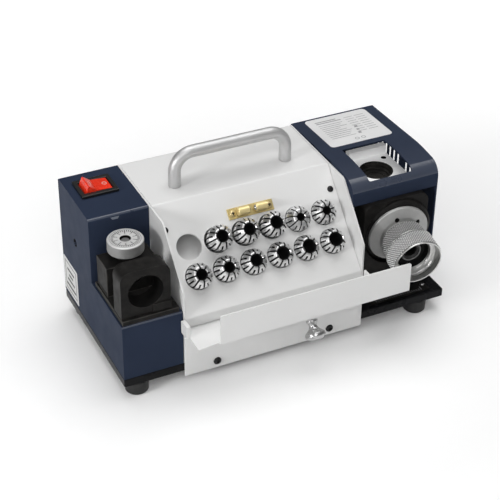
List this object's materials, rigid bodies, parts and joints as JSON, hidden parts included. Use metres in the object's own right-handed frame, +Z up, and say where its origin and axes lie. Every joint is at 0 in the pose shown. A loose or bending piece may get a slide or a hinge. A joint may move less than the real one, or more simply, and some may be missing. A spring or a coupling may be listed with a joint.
{
  "type": "drill bit sharpener",
  "caption": "Bench drill bit grinder with stored collets on a slanted panel, a collet chuck in its grinding port, a setting gauge, a drawer and a carry handle.",
  "frame": {"origin": "centre of the bounding box's bottom, on the ground under the machine", "axes": "+X to the operator's right along the machine, +Y away from the operator, +Z up"},
  "size_m": [0.32, 0.1916, 0.1802],
  "materials": {
    "navy_paint": "semi-gloss navy paint",
    "white_paint": "satin white paint",
    "black_paint": "gloss black paint",
    "black_oxide": "satin black oxide",
    "rubber": "matte black rubber",
    "polished_steel": "polished hard chrome",
    "turned_steel": "turned and knurled bright steel",
    "satin_aluminium": "satin",
    "brass": "polished brass",
    "black_plastic": "matte black",
    "red_plastic": "glossy red",
    "white_plastic": "matte off-white",
    "motor_steel": "dark grey enamel",
    "abrasive": "bonded grit"
  },
  "bodies": {
    "machine": {"base_plate": "black_paint", "foot_front_left": "rubber", "foot_front_right": "rubber", "foot_rear_left": "rubber", "foot_rear_right": "rubber", "left_housing": "navy_paint", "right_housing": "navy_paint", "centre_cover": "white_paint", "left_cheek": "white_paint", "right_cheek": "white_paint", "front_plate": "white_paint", "collet_rack": "white_plastic", "catch_plate": "brass", "catch_barrel_left": "brass", "catch_barrel_right": "brass", "carry_handle": "satin_aluminium", "switch_bezel": "black_plastic", "gauge_base": "black_oxide", "gauge_block": "black_oxide", "gauge_pivot": "black_oxide", "angle_scale": "black_oxide", "thinning_port": "satin_aluminium", "wheel_guard": "black_paint", "motor_case": "motor_steel", "motor_stator": "motor_steel", "rear_bearing": "polished_steel", "front_bearing": "polished_steel", "motor_cradle": "motor_steel", "power_inlet": "black_plastic"},
    "rocker": {"switch_rocker": "red_plastic"},
    "tray": {"drawer": "white_paint", "drawer_knob": "polished_steel"},
    "collet_upper_1_body": {"collet_upper_1": "polished_steel"},
    "collet_upper_2_body": {"collet_upper_2": "polished_steel"},
    "collet_upper_3_body": {"collet_upper_3": "polished_steel"},
    "collet_upper_4_body": {"collet_upper_4": "polished_steel"},
    "collet_upper_5_body": {"collet_upper_5": "polished_steel"},
    "collet_lower_1_body": {"collet_lower_1": "polished_steel"},
    "collet_lower_2_body": {"collet_lower_2": "polished_steel"},
    "collet_lower_3_body": {"collet_lower_3": "polished_steel"},
    "collet_lower_4_body": {"collet_lower_4": "polished_steel"},
    "collet_lower_5_body": {"collet_lower_5": "polished_steel"},
    "collet_lower_6_body": {"collet_lower_6": "polished_steel"},
    "ball_left": {"catch_ball_left": "polished_steel"},
    "ball_right": {"catch_ball_right": "polished_steel"},
    "dial": {"gauge_dial": "turned_steel"},
    "stop": {"gauge_stop": "turned_steel"},
    "port": {"port_block": "black_oxide"},
    "sleeve": {"port_sleeve": "black_oxide"},
    "chuck": {"chuck_body": "turned_steel", "chuck_collet": "polished_steel"},
    "nut": {"chuck_nut": "turned_steel"},
    "spindle": {"motor_shaft": "polished_steel", "motor_rotor": "motor_steel", "grinding_wheel": "abrasive", "wheel_flange": "turned_steel", "wheel_nut": "turned_steel"}
  },
  "joints": [
    {"name": "switch_rock", "type": "hinge", "parent": "machine", "child": "rocker", "pos_m": [-0.1355, 0.06402, 0.1415], "axis": [0, 1, 0], "range_deg": [-28, 0]},
    {"name": "drawer_slide", "type": "slide", "parent": "machine", "child": "tray", "axis": [0, -1, 0], "range_m": [0, 0.045]},
    {"name": "collet_upper_1_lift", "type": "slide", "parent": "machine", "child": "collet_upper_1_body", "axis": [0, -0.7259, 0.6878], "range_m": [0, 0.035]},
    {"name": "collet_upper_2_lift", "type": "slide", "parent": "machine", "child": "collet_upper_2_body", "axis": [0, -0.7259, 0.6878], "range_m": [0, 0.035]},
    {"name": "collet_upper_3_lift", "type": "slide", "parent": "machine", "child": "collet_upper_3_body", "axis": [0, -0.7259, 0.6878], "range_m": [0, 0.035]},
    {"name": "collet_upper_4_lift", "type": "slide", "parent": "machine", "child": "collet_upper_4_body", "axis": [0, -0.7259, 0.6878], "range_m": [0, 0.035]},
    {"name": "collet_upper_5_lift", "type": "slide", "parent": "machine", "child": "collet_upper_5_body", "axis": [0, -0.7259, 0.6878], "range_m": [0, 0.035]},
    {"name": "collet_lower_1_lift", "type": "slide", "parent": "machine", "child": "collet_lower_1_body", "axis": [0, -0.7259, 0.6878], "range_m": [0, 0.035]},
    {"name": "collet_lower_2_lift", "type": "slide", "parent": "machine", "child": "collet_lower_2_body", "axis": [0, -0.7259, 0.6878], "range_m": [0, 0.035]},
    {"name": "collet_lower_3_lift", "type": "slide", "parent": "machine", "child": "collet_lower_3_body", "axis": [0, -0.7259, 0.6878], "range_m": [0, 0.035]},
    {"name": "collet_lower_4_lift", "type": "slide", "parent": "machine", "child": "collet_lower_4_body", "axis": [0, -0.7259, 0.6878], "range_m": [0, 0.035]},
    {"name": "collet_lower_5_lift", "type": "slide", "parent": "machine", "child": "collet_lower_5_body", "axis": [0, -0.7259, 0.6878], "range_m": [0, 0.035]},
    {"name": "collet_lower_6_lift", "type": "slide", "parent": "machine", "child": "collet_lower_6_body", "axis": [0, -0.7259, 0.6878], "range_m": [0, 0.035]},
    {"name": "ball_left_press", "type": "slide", "parent": "machine", "child": "ball_left", "axis": [-1, 0, 0], "range_m": [0, 0.0012], "stiffness_N_per_m": 300, "springref_m": -0.0005},
    {"name": "ball_right_press", "type": "slide", "parent": "machine", "child": "ball_right", "axis": [1, 0, 0], "range_m": [0, 0.0012], "stiffness_N_per_m": 300, "springref_m": -0.0005},
    {"name": "dial_turn", "type": "hinge", "parent": "machine", "child": "dial", "pos_m": [-0.1353, -0.00478, 0.1128], "axis": [0, 0, 1], "range_deg": [0, 300]},
    {"name": "stop_slide", "type": "slide", "parent": "machine", "child": "stop", "axis": [0, 1, 0], "range_m": [0, 0.006]},
    {"name": "port_swivel", "type": "hinge", "parent": "machine", "child": "port", "pos_m": [0.1154, -0.01828, 0.0244], "axis": [0, 0, 1], "range_deg": [-2, 20]},
    {"name": "chuck_turn", "type": "hinge", "parent": "port", "child": "sleeve", "pos_m": [0.117, -0.03728, 0.0861], "axis": [-0.0936, -0.9905, -0.1011], "range_deg": [-35, 35]},
    {"name": "chuck_infeed", "type": "slide", "parent": "sleeve", "child": "chuck", "axis": [-0.0936, -0.9905, -0.1011], "range_m": [0, 0.003]},
    {"name": "nut_turn", "type": "hinge", "parent": "chuck", "child": "nut", "pos_m": [0.117, -0.03728, 0.0861], "axis": [-0.0936, -0.9905, -0.1011], "range_deg": [0, 360]},
    {"name": "spindle_spin", "type": "hinge", "parent": "machine", "child": "spindle", "pos_m": [-0.088, 0.04972, 0.075], "axis": [1, 0, 0], "continuous": true}
  ],
  "couplings": [
    {"joint": "dial_turn", "follows": "stop_slide", "rad_per_m": 872.6}
  ]
}
